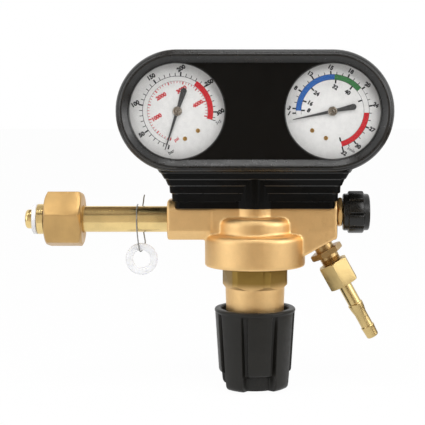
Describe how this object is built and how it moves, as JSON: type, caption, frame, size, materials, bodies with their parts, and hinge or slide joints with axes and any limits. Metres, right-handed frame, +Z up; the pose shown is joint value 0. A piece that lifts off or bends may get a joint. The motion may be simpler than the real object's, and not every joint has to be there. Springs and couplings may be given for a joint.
{
  "type": "gas pressure regulator",
  "caption": "Gas pressure regulator for a cylinder: brass body, pressure gauges in a rubber guard, adjusting knob, outlet valve and barbed hose tail.",
  "frame": {"origin": "centre of the inlet's sealing face, on the stem's axis", "axes": "+X along the inlet stem into the body, +Z up, the dials face -Y"},
  "size_m": [0.2283, 0.062, 0.2114],
  "materials": {
    "forged_brass": "satin",
    "machined_brass": "polished",
    "steel": "bright",
    "rubber": "satin",
    "black_plastic": "matte",
    "white_nylon": "matte",
    "dial_white": "matte",
    "pointer_grey": "satin",
    "clear_lens": "clear",
    "bronze": "sintered"
  },
  "bodies": {
    "frame": {"regulator_body": "forged_brass", "inlet_stem": "machined_brass", "inlet_filter": "bronze", "inlet_seal": "white_nylon", "bonnet": "machined_brass", "setting_spring": "steel", "diaphragm": "rubber", "slip_ring": "steel", "seat_nozzle": "machined_brass", "poppet_spring": "steel", "outlet_valve_bonnet": "machined_brass", "outlet_nipple": "machined_brass", "gauge_boot": "rubber", "gauge_case_left": "steel", "gauge_case_right": "steel", "lens_left": "clear_lens", "lens_right": "clear_lens", "dial_left": "dial_white", "dial_right": "dial_white", "movement_plate_left": "machined_brass", "movement_plate_right": "machined_brass", "gauge_socket_left": "machined_brass", "gauge_socket_right": "machined_brass", "bourdon_tube_left": "machined_brass", "bourdon_tube_right": "machined_brass"},
    "inlet_union": {"inlet_nut": "machined_brass"},
    "spare_seal_loop": {"spare_seal": "white_nylon", "seal_wire": "steel"},
    "thrust": {"spring_button": "steel"},
    "knob": {"adjusting_knob": "black_plastic", "adjusting_screw": "steel"},
    "valve_train": {"diaphragm_plate": "machined_brass", "valve_poppet": "machined_brass"},
    "valve_slide": {"outlet_valve_disc": "machined_brass"},
    "valve_knob": {"outlet_valve_knob": "black_plastic", "outlet_valve_spindle": "machined_brass"},
    "outlet_union": {"outlet_union_nut": "machined_brass"},
    "tail": {"hose_tail": "machined_brass"},
    "left_hand": {"pointer_left": "pointer_grey"},
    "right_hand": {"pointer_right": "pointer_grey"}
  },
  "joints": [
    {"name": "inlet_nut_turn", "type": "hinge", "parent": "frame", "child": "inlet_union", "pos_m": [0, 0, 0], "axis": [1, 0, 0], "continuous": true},
    {"name": "spare_seal_swing", "type": "hinge", "parent": "frame", "child": "spare_seal_loop", "pos_m": [0.0647, 0, 0], "axis": [1, 0, 0], "range_deg": [-60, 60]},
    {"name": "screw_travel", "type": "slide", "parent": "frame", "child": "thrust", "axis": [0, 0, 1], "range_m": [0, 0.0075], "deforming": ["setting_spring"]},
    {"name": "adjusting_knob_turn", "type": "hinge", "parent": "thrust", "child": "knob", "pos_m": [0.136, 0, -0.08], "axis": [0, 0, 1], "range_deg": [0, 1800]},
    {"name": "poppet_lift", "type": "slide", "parent": "frame", "child": "valve_train", "axis": [0, 0, 1], "range_m": [0, 0.0007], "stiffness_N_per_m": 1500, "deforming": ["poppet_spring"]},
    {"name": "valve_slide_travel", "type": "slide", "parent": "frame", "child": "valve_slide", "axis": [1, 0, 0], "range_m": [0, 0.002]},
    {"name": "outlet_knob_turn", "type": "hinge", "parent": "valve_slide", "child": "valve_knob", "pos_m": [0.1872, 0, 0.0044], "axis": [1, 0, 0], "range_deg": [0, 720]},
    {"name": "outlet_nut_turn", "type": "hinge", "parent": "frame", "child": "outlet_union", "pos_m": [0.17828, 0, -0.01595], "axis": [0.4848, 0, -0.8746], "continuous": true},
    {"name": "hose_tail_swivel", "type": "hinge", "parent": "frame", "child": "tail", "pos_m": [0.17828, 0, -0.01595], "axis": [0.4848, 0, -0.8746], "continuous": true},
    {"name": "left_pointer_turn", "type": "hinge", "parent": "frame", "child": "left_hand", "pos_m": [0.0886, -0.0148, 0.0676], "axis": [0, 1, 0], "range_deg": [0, 270]},
    {"name": "right_pointer_turn", "type": "hinge", "parent": "frame", "child": "right_hand", "pos_m": [0.1834, -0.0148, 0.0676], "axis": [0, 1, 0], "range_deg": [0, 270]}
  ],
  "couplings": [
    {"joint": "adjusting_knob_turn", "follows": "screw_travel", "rad_per_m": 4188.8},
    {"joint": "outlet_knob_turn", "follows": "valve_slide_travel", "rad_per_m": 6283.2}
  ]
}
